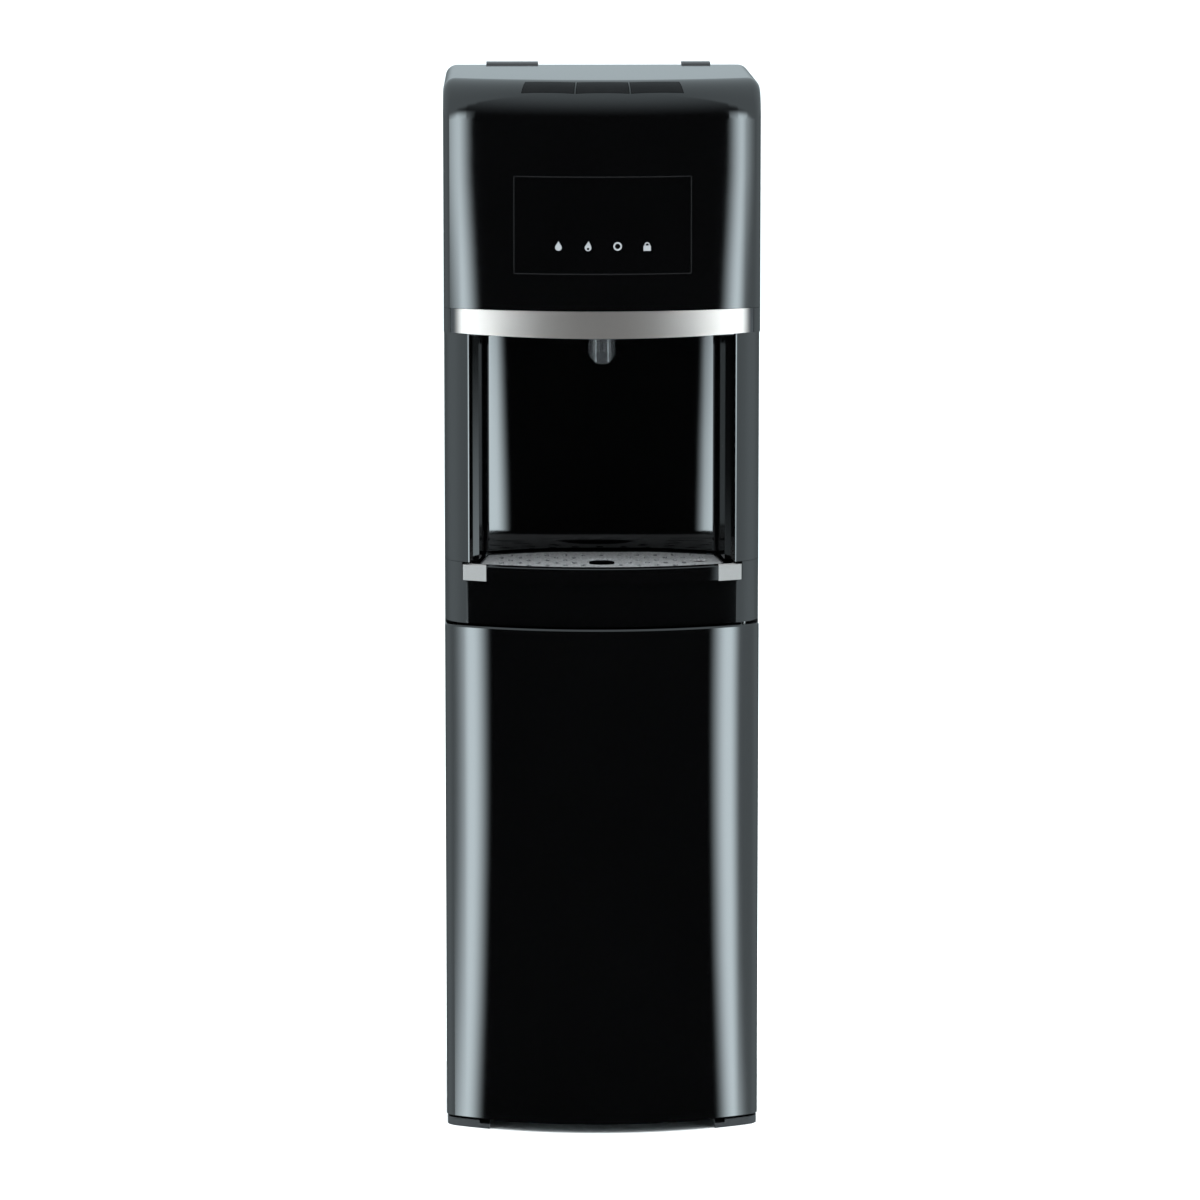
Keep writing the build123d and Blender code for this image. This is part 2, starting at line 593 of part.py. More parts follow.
def make_level_float():
    body = rod(FLOAT_XY, FLOAT_R, (TRAY_Z[0] + 2, TRAY_LEDGE_Z - 0.2))
    body = fillet(body.edges().filter_by(GeomType.CIRCLE).group_by(Axis.Z)[-1], 1.2)
    return body - rod(FLOAT_XY, 1.75, (TRAY_Z[0], TRAY_LEDGE_Z - 2))


# ---- door ----
def door_form(inset, z):
    form = front_block(inset, HALF - inset, DOOR_BACK_Y, z, HINGE_R - inset)
    rear = upright_edges(form, front=False).sort_by(Axis.X)
    form = fillet(rear[-1], HINGE_R - inset - 0.3)
    left = upright_edges(form, front=False).sort_by(Axis.X)[0]
    return fillet(left, 2) if inset == 0 else form


def make_door_outer_shell():
    shell = door_form(0, DOOR_Z)
    front_top = [edge for edge in shell.edges().group_by(Axis.Z)[-1] if edge.center().Y < DOOR_BACK_Y - 4]
    shell = chamfer(front_top, 1.6)
    front_foot = [edge for edge in shell.edges().group_by(Axis.Z)[0] if edge.center().Y < DOOR_BACK_Y - 4]
    shell = chamfer(front_foot, DOOR_FOOT_CHAMFER)
    shell -= door_form(WALL, (DOOR_Z[0] + WALL, DOOR_Z[1] - WALL))
    for z in ((DOOR_Z[0], DOOR_Z[0] + 22), (DOOR_Z[1] - 22, DOOR_Z[1])):
        boss = rod((HINGE_X, HINGE_Y), 6.5, z)
        shell += boss - rod((HINGE_X, HINGE_Y), PIN_R, (z[0] - 1, z[1] + 1))
    for z in ((0, DOOR_Z[0] + 5), (DOOR_Z[1] - 5, DOOR_Z[1] + 1)):
        shell -= rod((HINGE_X, HINGE_Y), PIN_R, z)
    return shell


def make_door_inner_liner():
    z = (DOOR_Z[0] + WALL + GAP, DOOR_Z[1] - WALL - GAP)
    sheet = block((-HALF + WALL + GAP, 132), (DOOR_BACK_Y - 2.5, DOOR_BACK_Y), z)
    bulge = block((-112, 106), (DOOR_BACK_Y - DISH_DEEP - 2.5, DOOR_BACK_Y), (z[0] + 34, z[1] - 34))
    bulge = fillet(bulge.edges().filter_by(Axis.Y), 18)
    dish = block((-109.5, 103.5), (DOOR_BACK_Y - DISH_DEEP, DOOR_BACK_Y + 1), (z[0] + 36.5, z[1] - 36.5))
    dish = fillet(dish.edges().filter_by(Axis.Y), 15.5)
    pocket = block((-150.1, -139.9), (DOOR_BACK_Y - 5.1, DOOR_BACK_Y + 1), (455, 491))
    seat = block((-151.5, -138.5), (DOOR_BACK_Y - 6.5, DOOR_BACK_Y), (453.5, 492.5))
    return sheet + bulge + seat - dish - pocket


def make_door_hinge_pins():
    lower = rod((HINGE_X, HINGE_Y), PIN_R, (FOOT_TOP_Z + 0.4, DOOR_Z[0] + 21))
    upper = rod((HINGE_X, HINGE_Y), PIN_R, (DOOR_Z[1] - 21, HOUSING_Z[0] + 5))
    return group([lower, upper])


def make_lower_hinge_bush():
    bush = rod((HINGE_X, HINGE_Y), 5.5, (FOOT_TOP_Z, DOOR_Z[0] - 1))
    bush += rod((HINGE_X, HINGE_Y), 7.5, (DOOR_Z[0] - 1, DOOR_Z[0] - 0.4))
    return bush - rod((HINGE_X, HINGE_Y), PIN_R + PIN_CLEARANCE, (FOOT_TOP_Z - 1, DOOR_Z[0]))


def make_upper_hinge_bracket():
    z = HOUSING_Z[0] + 0.5
    plate = block((126, 139), (HINGE_Y - 5, FRAME_Y + 42), (z, z + 2))
    plate += block((126, HINGE_X + 5.5), (HINGE_Y - 5.5, HINGE_Y + 9), (z, z + 2))
    plate = fillet(plate.edges().filter_by(Axis.Z).sort_by(Axis.Y)[:2], 5)
    tab = block((126, 128), (FRAME_Y + 8.5, FRAME_Y + 42), (z, z + 22))
    return plate + tab - rod((HINGE_X, HINGE_Y), PIN_R + PIN_CLEARANCE, (z - 1, z + 3))


def make_door_magnet():
    return block((-150, -140), (DOOR_BACK_Y - 5, DOOR_BACK_Y), (455.1, 490.9))


def make_catch_plate():
    plate = block((-153, -144), (FRAME_Y - 0.7, FRAME_Y), (452, 494))
    return fillet(plate.edges().filter_by(Axis.Y), 2)


# ---- bottle compartment ----
def room_form():
    room = block((-ROOM_HALF, ROOM_HALF), (FRAME_Y - 1, ROOM_BACK_Y), (ROOM_Z[0] - 1, ROOM_Z[1]))
    return fillet(upright_edges(room, front=False), 12)


def make_compartment_liner():
    out = ROOM_HALF + LINER_WALL
    shell = block((-out, out), (FRAME_Y, ROOM_BACK_Y + LINER_WALL), (ROOM_Z[0], ROOM_Z[1] + LINER_WALL))
    return shell - room_form() - rod(PROBE_XY, HOSE_R + 2, (ROOM_Z[1] - 1, ROOM_Z[1] + 5))


def make_probe_holder():
    x, y = PROBE_XY
    low = PROBE_CAP_Z[0] - 4
    shelf = block((-ROOM_HALF, x + 14), (y - 14, ROOM_BACK_Y), (low - 3, low))
    shelf = fillet(shelf.edges().filter_by(Axis.Z).sort_by(Axis.Y)[:2], 6)
    back = block((-ROOM_HALF, x + 14), (ROOM_BACK_Y - 3, ROOM_BACK_Y), (low - 40, low))
    return ((shelf + back) & room_form()) - rod(PROBE_XY, 9, (low - 5, low + 1))


def make_probe_cap():
    low, high = PROBE_CAP_Z
    cap = rod(PROBE_XY, PROBE_CAP_R, (low - 4, high))
    cap = fillet(cap.edges().filter_by(GeomType.CIRCLE).group_by(Axis.Z)[-1], 6)
    cap -= rod(PROBE_XY, PROBE_CAP_R - 2.5, (low - 5, high - 4))
    cap += rod(PROBE_XY, 9, (high - 14, high + 10))
    ribs = []
    for step in range(24):
        angle = math.radians(15 * step)
        spot = (PROBE_XY[0] + PROBE_CAP_R * math.cos(angle), PROBE_XY[1] + PROBE_CAP_R * math.sin(angle))
        ribs.append(rod(spot, 0.9, (low - 3, high - 9)))
    return cap + ribs - rod(PROBE_XY, 7.05, (low, high)) - rod(PROBE_XY, 3.5, (low, high + 12))


def make_probe_tube():
    low, high = PROBE_CAP_Z
    tube = rod(PROBE_XY, 7, (60, high - 1)) - rod(PROBE_XY, 5, (62, high))
    slots = [
        Pos(PROBE_XY[0], PROBE_XY[1], 78) * Rot(0, 0, turn) * Box(20, 2.4, 22)
        for turn in (0, 60, 120)
    ]
    return tube - slots


def make_suction_hose():
    """Limp hose from the cap up to the roof of the compartment, hanging in a gentle S."""
    x, y = PROBE_XY
    low, high = PROBE_CAP_Z[1] + 10, ROOM_Z[1] + LINER_WALL
    run = (high - low) / 4
    points = [(x, y, low), (x, y, low + run), (x + 9, y - 9, low + 2 * run), (x, y, low + 3 * run), (x, y, high)]
    return hose(points, HOSE_R, 40, 3.5)


# ---- water and cooling ----
def make_water_pump():
    body = block((84, 124), (10, 54), (DECK_Z + 1.5, DECK_Z + 32))
    body = fillet(body.edges().filter_by(Axis.Z), 8)
    motor = rod((104, 32), 17, (DECK_Z + 32, DECK_Z + 74))
    barbs = rod_y(104, DECK_Z + 18, 4, (2, 10)) + rod_y(104, DECK_Z + 18, 4, (54, 62))
    return body + motor + barbs


def make_feed_hose():
    start = DECK_Z + 18
    points = [(104, 2, start), (104, -12, start), (112, -8, start + 40), (112, -8, SHELF_Z + 30), (112, 6, SHELF_Z + 44)]
    return hose(points, 4.5, [9, 20, 9], 3)


def make_hot_tank():
    tank = rod((88, 64), 52, (SHELF_Z + 1.5, SHELF_Z + 170))
    tank = fillet(tank.edges().filter_by(GeomType.CIRCLE), 14)
    core = rod((88, 64), 51, (SHELF_Z + 2.5, SHELF_Z + 169))
    core = fillet(core.edges().filter_by(GeomType.CIRCLE), 13)
    band = rod((88, 64), 55, (SHELF_Z + 34, SHELF_Z + 64)) - rod((88, 64), 51.5, (SHELF_Z, SHELF_Z + 90))
    outlet = rod((88, 64), 6, (SHELF_Z + 169, SHELF_Z + 186)) - rod((88, 64), 4, (SHELF_Z + 160, SHELF_Z + 190))
    return tank - core + band + outlet - rod((88, 64), 4, (SHELF_Z + 160, SHELF_Z + 190))


def make_cold_tank():
    tank = rod((-62, 62), 62, (SHELF_Z + 22, SHELF_Z + 180))
    tank = fillet(tank.edges().filter_by(GeomType.CIRCLE), 12)
    core = rod((-62, 62), 61, (SHELF_Z + 23, SHELF_Z + 179))
    core = fillet(core.edges().filter_by(GeomType.CIRCLE), 11)
    outlet = rod((-62, 62), 7, (SHELF_Z + 179, SHELF_Z + 214)) - rod((-62, 62), 5, (SHELF_Z + 170, SHELF_Z + 220))
    return tank - core + outlet - rod((-62, 62), 5, (SHELF_Z + 170, SHELF_Z + 220))


def make_cold_tank_insulation():
    foam = block((-144, 20), (-20, 144), (SHELF_Z + 1.5, SHELF_Z + 194))
    foam = fillet(foam.edges().filter_by(Axis.Z), 20)
    space = rod((-62, 62), 62.2, (SHELF_Z + 21.8, SHELF_Z + 180.2))
    space += rod((-62, 62), 7.2, (SHELF_Z + 170, SHELF_Z + 210))
    return foam - space


def make_compressor():
    shell = rod((-30, 60), 56, (DECK_Z + 14, DECK_Z + 150))
    top = shell.edges().filter_by(GeomType.CIRCLE).group_by(Axis.Z)
    shell = fillet(top[-1], 34)
    shell = fillet(shell.edges().filter_by(GeomType.CIRCLE).group_by(Axis.Z)[0], 20)
    seam = rod((-30, 60), 58, (DECK_Z + 84, DECK_Z + 88))
    plate = block((-100, 40), (-6, 126), (DECK_Z + 10, DECK_Z + 14))
    plate = fillet(plate.edges().filter_by(Axis.Z), 12)
    box = block((24, 52), (36, 84), (DECK_Z + 60, DECK_Z + 110))
    stubs = rod((-30, 60), 4, (DECK_Z + 148, DECK_Z + 166))
    body = shell + seam + plate + box + stubs
    return body - [rod(spot, 4, (DECK_Z, DECK_Z + 20)) for spot in grommet_spots()]


def grommet_spots():
    return [(x, y) for x in (-88, 28) for y in (4, 116)]


def make_compressor_grommets():
    grommets = []
    for spot in grommet_spots():
        grommet = rod(spot, 9, (DECK_Z + 1.5, DECK_Z + 10)) + rod(spot, 3.9, (DECK_Z + 9, DECK_Z + 15))
        grommets.append(grommet)
    return group(grommets)


def coil_ends():
    top = COIL_Z + COIL_PITCH * (COIL_PASSES - 1)
    top_side = 1 if COIL_PASSES % 2 else -1
    return [(-COIL_HALF, COIL_Z), (COIL_HALF * top_side, top)]


def make_condenser_coil():
    """One tube going back and forth across the rear, both ends turning into the cabinet."""
    points = [(-COIL_HALF, PANEL_Y - 8, COIL_Z), (-COIL_HALF, COIL_Y, COIL_Z)]
    side = 1
    for index in range(COIL_PASSES):
        z = COIL_Z + index * COIL_PITCH
        points.append((side * COIL_HALF, COIL_Y, z))
        if index < COIL_PASSES - 1:
            points.append((side * COIL_HALF, COIL_Y, z + COIL_PITCH))
            side = -side
    points.append((side * COIL_HALF, PANEL_Y - 8, points[-1][2]))
    bends = [9] + [14] * (len(points) - 4) + [9]
    return hose(points, COIL_R, bends)


def make_condenser_wires():
    low = COIL_Z - 8
    high = COIL_Z + COIL_PITCH * (COIL_PASSES - 1) + 8
    count = int((COIL_HALF - 22) // WIRE_PITCH)
    wires = []
    for index in range(-count, count + 1):
        for side in (-1, 1):
            y = COIL_Y + side * (COIL_R + WIRE_R + 0.05)
            wires.append(rod((index * WIRE_PITCH, y), WIRE_R, (low, high)))
    return group(wires)


def make_condenser_brackets():
    brackets = []
    last = COIL_Z + COIL_PITCH * (COIL_PASSES - 1)
    for x in (-65, 65):
        for z in (COIL_Z + COIL_PITCH, last - COIL_PITCH):
            clip = block((x - 3.5, x + 3.5), (PANEL_Y, COIL_Y + 6), (z - 8, z + 8))
            clip = fillet(clip.edges().filter_by(Axis.X).sort_by(Axis.Y)[-2:], 3)
            brackets.append(clip - rod_x(COIL_Y, z, COIL_R + 0.05, (x - 5, x + 5)))
    return group(brackets)


# ---- rear services ----
def make_switch_plate():
    x = (SWITCH_X[0] - 21, SWITCH_X[1] + 21)
    flange = block(x, (PANEL_Y, PANEL_Y + 3), (SWITCH_Z - 21, SWITCH_Z + 21))
    flange = fillet(flange.edges().filter_by(Axis.Y), 4)
    body = block((x[0] + 5, x[1] - 5), (PANEL_Y - 18, PANEL_Y + 3), (SWITCH_Z - 16, SWITCH_Z + 16))
    plate = flange + body
    for centre in SWITCH_X:
        plate -= block((centre - 10.5, centre + 10.5), (PANEL_Y - 14, PANEL_Y + 9), (SWITCH_Z - 12, SWITCH_Z + 12))
        plate -= rod_x(SWITCH_PIVOT_Y, SWITCH_Z, SWITCH_PIN_R + PIN_CLEARANCE, (centre - 12.8, centre + 12.8))
    return plate


def make_rocker(x):
    """Rocker drawn level about its pivot, then tipped into its off position."""
    outline = Polyline((-7, -5), (5.5, -9.6), (3, 0), (5.5, 9.6), (-7, 5), close=True)
    face = Plane(origin=(x - 10, SWITCH_PIVOT_Y, SWITCH_Z), x_dir=(0, 1, 0), z_dir=(1, 0, 0)) * make_face(outline)
    body = extrude(face, 20) + rod_x(SWITCH_PIVOT_Y, SWITCH_Z, SWITCH_PIN_R, (x - 12.5, x + 12.5))
    turn = Pos(0, SWITCH_PIVOT_Y, SWITCH_Z) * Rot(-8, 0, 0) * Pos(0, -SWITCH_PIVOT_Y, -SWITCH_Z)
    return turn * body


def make_drain_outlets():
    outlets = []
    for x in DRAIN_X:
        spigot = rod_y(x, SERVICE_Z, 8, (132, 170)) + rod_y(x, SERVICE_Z, 11, (PANEL_Y, PANEL_Y + 3))
        outlets.append(spigot - rod_y(x, SERVICE_Z, 5.5, (125, 175)))
    return group(outlets)


def make_drain_cap(x):
    cap = rod_y(x, SERVICE_Z, 11.5, (PANEL_Y + 4, PANEL_Y + 24))
    cap = fillet(cap.edges().filter_by(GeomType.CIRCLE).group_by(Axis.Y)[-1], 2)
    cap -= rod_y(x, SERVICE_Z, 8.3, (PANEL_Y, PANEL_Y + 21))
    ribs = []
    for step in range(16):
        angle = math.radians(22.5 * step)
        spot = (x + 11.5 * math.cos(angle), SERVICE_Z + 11.5 * math.sin(angle))
        ribs.append(rod_y(*spot, 0.8, (PANEL_Y + 5, PANEL_Y + 21)))
    return cap + ribs


def make_cord_gland():
    gland = rod_y(GLAND_X, SERVICE_Z, 8, (138, 166)) + rod_y(GLAND_X, SERVICE_Z, 12, (PANEL_Y, PANEL_Y + 5))
    return gland - rod_y(GLAND_X, SERVICE_Z, CORD_R, (130, 170))


def make_panel_screws():
    spots = [(x, z) for x in (-147, 147) for z in (40, 250, 480, 580, 790, 990)]
    screws = []
    for x, z in spots:
        head = rod_y(x, z, 3.6, (PANEL_Y, PANEL_Y + 2))
        head = fillet(head.edges().filter_by(GeomType.CIRCLE).group_by(Axis.Y)[-1], 1.2)
        slot = block((x - 2.4, x + 2.4), (PANEL_Y + 1, PANEL_Y + 3), (z - 0.4, z + 0.4))
        screws.append(head - slot - Pos(x, PANEL_Y + 2, z) * Box(0.8, 2, 4.8))
    return group(screws)


def make_parts():
    left_turn, middle_turn, right_turn = key_turns()
    side_panel = make_side_panel()
    return {
        "base_pan": make_base_pan(),
        "corner_feet": make_corner_feet(),
        "left_side_panel": mirrored(side_panel),
        "right_side_panel": side_panel,
        "rear_panel": make_rear_panel(),
        "top_cover": make_top_cover(),
        "wall_spacer_left": make_wall_spacer((-113.5, -60.5)),
        "wall_spacer_right": make_wall_spacer((86.5, 115.5)),
        "mid_deck": make_mid_deck(),
        "tank_shelf": make_tank_shelf(),
        "upper_fascia": make_upper_fascia(),
        "hot_key": make_key(left_turn),
        "room_key": make_key(middle_turn),
        "cold_key": make_key(right_turn),
        "key_switches": make_key_switches(),
        "display_window": make_display_window(),
        "display_icons": make_display_icons(),
        "display_board": make_display_board(),
        "trim_band": make_trim_band(),
        "side_columns": make_side_columns(),
        "alcove_liner": make_alcove_liner(),
        "nozzle_hood": make_nozzle_hood(),
        "water_spouts": make_water_spouts(),
        "solenoid_valves": make_solenoid_valves(),
        "spout_hoses": make_spout_hoses(),
        "tray_housing": make_tray_housing(),
        "drip_tray": make_drip_tray(),
        "tray_trim_ends": make_tray_trim_ends(),
        "drip_grille": make_drip_grille(),
        "level_float": make_level_float(),
        "door_outer_shell": make_door_outer_shell(),
        "door_inner_liner": make_door_inner_liner(),
        "door_hinge_pins": make_door_hinge_pins(),
        "door_magnet": make_door_magnet(),
        "lower_hinge_bush": make_lower_hinge_bush(),
        "upper_hinge_bracket": make_upper_hinge_bracket(),
        "catch_plate": make_catch_plate(),
        "compartment_liner": make_compartment_liner(),
        "probe_holder": make_probe_holder(),
        "probe_cap": make_probe_cap(),
        "probe_tube": make_probe_tube(),
        "suction_hose": make_suction_hose(),
        "water_pump": make_water_pump(),
        "feed_hose": make_feed_hose(),
        "hot_tank": make_hot_tank(),
        "cold_tank": make_cold_tank(),
        "cold_tank_insulation": make_cold_tank_insulation(),
        "compressor": make_compressor(),
        "compressor_grommets": make_compressor_grommets(),
        "condenser_coil": make_condenser_coil(),
        "condenser_wires": make_condenser_wires(),
        "condenser_brackets": make_condenser_brackets(),
        "switch_plate": make_switch_plate(),
        "hot_rocker": make_rocker(SWITCH_X[0]),
        "cold_rocker": make_rocker(SWITCH_X[1]),
        "drain_outlets": make_drain_outlets(),
        "hot_drain_cap": make_drain_cap(DRAIN_X[0]),
        "cold_drain_cap": make_drain_cap(DRAIN_X[1]),
        "cord_gland": make_cord_gland(),
        "panel_screws": make_panel_screws(),
    }


def main():
    os.makedirs("parts", exist_ok=True)
    for name, shape in make_parts().items():
        export_step(shape, f"parts/{name}.step")


if __name__ == "__main__":
    main()
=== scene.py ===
"""Looks of the bottom-load water dispenser: finishes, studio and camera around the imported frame."""

import math

import bpy
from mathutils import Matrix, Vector


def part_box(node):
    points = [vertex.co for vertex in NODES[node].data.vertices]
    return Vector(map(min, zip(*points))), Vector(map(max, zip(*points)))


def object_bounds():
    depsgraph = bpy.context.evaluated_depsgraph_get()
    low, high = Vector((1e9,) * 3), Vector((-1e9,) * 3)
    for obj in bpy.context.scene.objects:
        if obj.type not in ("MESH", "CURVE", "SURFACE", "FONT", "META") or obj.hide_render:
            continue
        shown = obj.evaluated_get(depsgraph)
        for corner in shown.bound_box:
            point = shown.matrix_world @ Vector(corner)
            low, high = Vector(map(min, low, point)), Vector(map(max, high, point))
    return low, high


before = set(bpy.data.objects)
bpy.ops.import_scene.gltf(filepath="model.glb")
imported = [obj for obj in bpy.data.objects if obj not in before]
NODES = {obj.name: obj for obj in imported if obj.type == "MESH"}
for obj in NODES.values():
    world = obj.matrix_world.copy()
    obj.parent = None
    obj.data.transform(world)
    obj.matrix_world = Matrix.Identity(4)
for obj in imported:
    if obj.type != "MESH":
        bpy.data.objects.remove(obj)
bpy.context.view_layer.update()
LOW = Vector(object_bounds()[0])

# ---- camera: metres, and the lens in millimetres ----
CAMERA_DISTANCE = 5.5  # in front of the object's foremost line
EYE_HEIGHT = 1.337
AIM_HEIGHT = 0.535
AIM_STEP = -0.0028  # the point it looks at is this far off the middle
SIDE_STEP = -0.095  # the camera stands this far off the middle
FOCAL_LENGTH = 170.6
CLIP_END = 100.0

# ---- studio: the room that the object mirrors, with bearings and elevations in degrees ----
DARK_CARD = 0.006  # what the gloss black mirrors straight ahead
STRIP_POWER = 13.0  # the bright strip each side of the dark card
STRIP_RISE = (41.5, 49.5)  # bearings over which a strip begins, where it is widest
STRIP_FALL = (50.5, 55.5)  # bearings over which it ends there
STRIP_HEIGHT = -9.5  # elevation where the strips are widest
STRIP_INNER_BEND = 0.22  # degrees that this edge moves back per square degree from that elevation
STRIP_OUTER_BEND = 0.12  # the same for the outer edge
STRIP_BEND_TOP = 5.5  # from this far above it they run straight up
STRIP_HEAD = (0.0, 24.0)  # elevations over which the strips fade upwards
STRIP_FOOT = (-17.0, -15.0)  # elevations over which the strips end above the floor
ROOM_GLOW = 1.5  # the room beside the object
ROOM_TURN = (85.0, 155.0)  # bearings over which that becomes the room behind
REAR_GLOW = (0.2, 0.55)  # the room behind it, below and above eye level
REAR_EDGE = (-2.0, 3.0)  # elevations between those two
CEILING_GLOW = 1.3
CEILING_EDGE = (8.0, 78.0)  # elevations over which the ceiling takes over
STUDIO_TINT = (0.86, 1.0, 1.06)  # cool daylight, seen only in reflections
WHITE = (1.0, 1.0, 1.0)

# ---- lights and floor ----
SKY_STRENGTH = 1.6
SKY_SPREAD = math.radians(120)  # so wide that it casts no edge of shadow
OVERHEAD_PLACE = (0, -0.6, 3.2)
OVERHEAD_TARGET = (0, 0, 0.4)
OVERHEAD_SIZE = (2.4, 2.4)
OVERHEAD_POWER = 130
FLOOR_REACH = 30.0  # half its side
FLOOR_WHITE = (0.9, 0.9, 0.9, 1)
FLOOR_ROUGHNESS = 0.9

# ---- drawn detail, in metres ----
TRIM_PAINTED_SHADE_START = 0.014  # painted shade darkens the trim band's colour from this far off its end
TRIM_PAINTED_SHADE_FULL = 0.002
EDGE_LINE_START = (0.0002, 0.0004)  # the display's edge line begins this far in from the edge
EDGE_LINE_END = (0.0012, 0.0015)

# ---- places of a Mix node's sockets when it mixes colours ----
MIX_FACTOR, MIX_FIRST, MIX_SECOND, MIX_RESULT = 0, 6, 7, 2


# ---------------------------------------------------------------- node helpers
class Graph:
    """A node tree with short calls for the nodes that the finishes share."""

    def __init__(self, tree):
        self.tree = tree
        self.tree.nodes.clear()

    def node(self, kind, **inputs):
        made = self.tree.nodes.new(kind)
        for name, value in inputs.items():
            self.feed(made.inputs[name.replace("_", " ")], value)
        return made

    def feed(self, socket, value):
        if isinstance(value, bpy.types.NodeSocket):
            self.tree.links.new(value, socket)
        else:
            socket.default_value = value

    def math(self, operation, first, second=0.0, clamp=False):
        made = self.tree.nodes.new("ShaderNodeMath")
        made.operation = operation
        made.use_clamp = clamp
        self.feed(made.inputs[0], first)
        self.feed(made.inputs[1], second)
        return made.outputs[0]

    def place(self, scale=(1, 1, 1)):
        """Object coordinates in metres, scaled per axis."""
        coordinates = self.tree.nodes.new("ShaderNodeTexCoord")
        mapping = self.tree.nodes.new("ShaderNodeMapping")
        mapping.inputs["Scale"].default_value = scale
        self.tree.links.new(coordinates.outputs["Object"], mapping.inputs["Vector"])
        return mapping.outputs["Vector"]

    def noise(self, scale, detail=2.0, rough=0.5, where=None):
        made = self.node("ShaderNodeTexNoise", Scale=scale, Detail=detail, Roughness=rough)
        self.feed(made.inputs["Vector"], where or self.place())
        return made.outputs["Fac"]

    def cells(self, scale, feature="F1"):
        made = self.tree.nodes.new("ShaderNodeTexVoronoi")
        made.feature = feature
        made.inputs["Scale"].default_value = scale
        self.feed(made.inputs["Vector"], self.place())
        return made.outputs["Distance"]

    def between(self, factor, low, high):
        """Maps a factor from 0..1 to low..high."""
        made = self.node("ShaderNodeMapRange", Value=factor)
        made.inputs["To Min"].default_value = low
        made.inputs["To Max"].default_value = high
        return made.outputs["Result"]

    def step(self, factor, start, end):
        """A soft step: 0 before start, 1 after end."""
        made = self.node("ShaderNodeMapRange", Value=factor)
        made.interpolation_type = "SMOOTHSTEP"
        made.inputs["From Min"].default_value = start
        made.inputs["From Max"].default_value = end
        return made.outputs["Result"]

    def blend(self, factor, first, second):
        made = self.tree.nodes.new("ShaderNodeMix")
        made.data_type = "RGBA"
        self.feed(made.inputs[MIX_FACTOR], factor)
        self.feed(made.inputs[MIX_FIRST], (*first, 1) if isinstance(first, tuple) else first)
        self.feed(made.inputs[MIX_SECOND], (*second, 1) if isinstance(second, tuple) else second)
        return made.outputs[MIX_RESULT]

    def bump(self, height, strength, distance, under=None):
        made = self.node("ShaderNodeBump", Height=height, Strength=strength, Distance=distance)
        if under:
            self.tree.links.new(under, made.inputs["Normal"])
        return made.outputs["Normal"]


def finish(name):
    """A new material with one Principled shader: (material, graph, shader)."""
    material = bpy.data.materials.new(name)
    material.use_nodes = True
    graph = Graph(material.node_tree)
    shader = graph.node("ShaderNodeBsdfPrincipled")
    output = graph.node("ShaderNodeOutputMaterial")
    graph.tree.links.new(shader.outputs["BSDF"], output.inputs["Surface"])
    return material, graph, shader


def surface(graph, shader, colour=None, roughness=None, normal=None, **fixed):
    """Links the varying inputs, and sets the fixed ones on the shader's own sockets."""
    for socket, value in (("Base Color", colour), ("Roughness", roughness), ("Normal", normal)):
        if value is not None:
            graph.feed(shader.inputs[socket], value)
    for socket, value in fixed.items():
        shader.inputs[socket.replace("_", " ")].default_value = value


# ---------------------------------------------------------------- finishes
def gloss_black():
    """Polished black ABS: a deep mirror with the faint waviness of a moulding."""
    material, graph, shader = finish("gloss_black")
    tone = graph.blend(graph.noise(scale=9.0), (0.0009, 0.0009, 0.001), (0.0015, 0.0015, 0.0016))
    haze = graph.between(graph.noise(scale=60.0, detail=4.0, rough=0.6), low=0.03, high=0.06)
    wave = graph.bump(graph.noise(scale=7.0, detail=1.0), strength=0.02, distance=0.004)
    surface(graph, shader, tone, haze, wave, IOR=1.5)
    return material


def satin_black():
    """Spark-eroded black plastic of the base, liners and rear fittings."""
    material, graph, shader = finish("satin_black")
    tone = graph.blend(graph.noise(scale=40.0, detail=3.0), (0.016, 0.0165, 0.018), (0.024, 0.0245, 0.026))
    rough = graph.between(graph.noise(scale=300.0, detail=3.0, rough=0.6), low=0.38, high=0.55)
    grain = graph.bump(graph.noise(scale=1800.0, detail=2.0), strength=0.22, distance=0.0004)
    surface(graph, shader, tone, rough, grain)
    return material


def painted_black():
    """Powder-coated steel: fine orange peel with a slightly uneven sheen."""
    material, graph, shader = finish("painted_black")
    tone = graph.blend(graph.noise(scale=14.0, detail=4.0), (0.017, 0.018, 0.02), (0.023, 0.0245, 0.0265))
    rough = graph.between(graph.noise(scale=90.0, detail=4.0, rough=0.6), low=0.34, high=0.46)
    peel = graph.bump(graph.noise(scale=850.0, detail=2.0, rough=0.45), strength=0.3, distance=0.0005)
    sheet = graph.bump(graph.noise(scale=5.0, detail=1.0), strength=0.05, distance=0.01, under=peel)
    surface(graph, shader, tone, rough, sheet)
    return material


def galvanised():
    """Zinc-coated sheet with its spangle."""
    material, graph, shader = finish("galvanised")
    spangle = graph.cells(scale=130.0)
    tone = graph.blend(spangle, (0.36, 0.38, 0.4), (0.56, 0.58, 0.6))
    rough = graph.between(spangle, low=0.3, high=0.5)
    relief = graph.bump(spangle, strength=0.08, distance=0.001)
    surface(graph, shader, tone, rough, relief, Metallic=0.9)
    return material


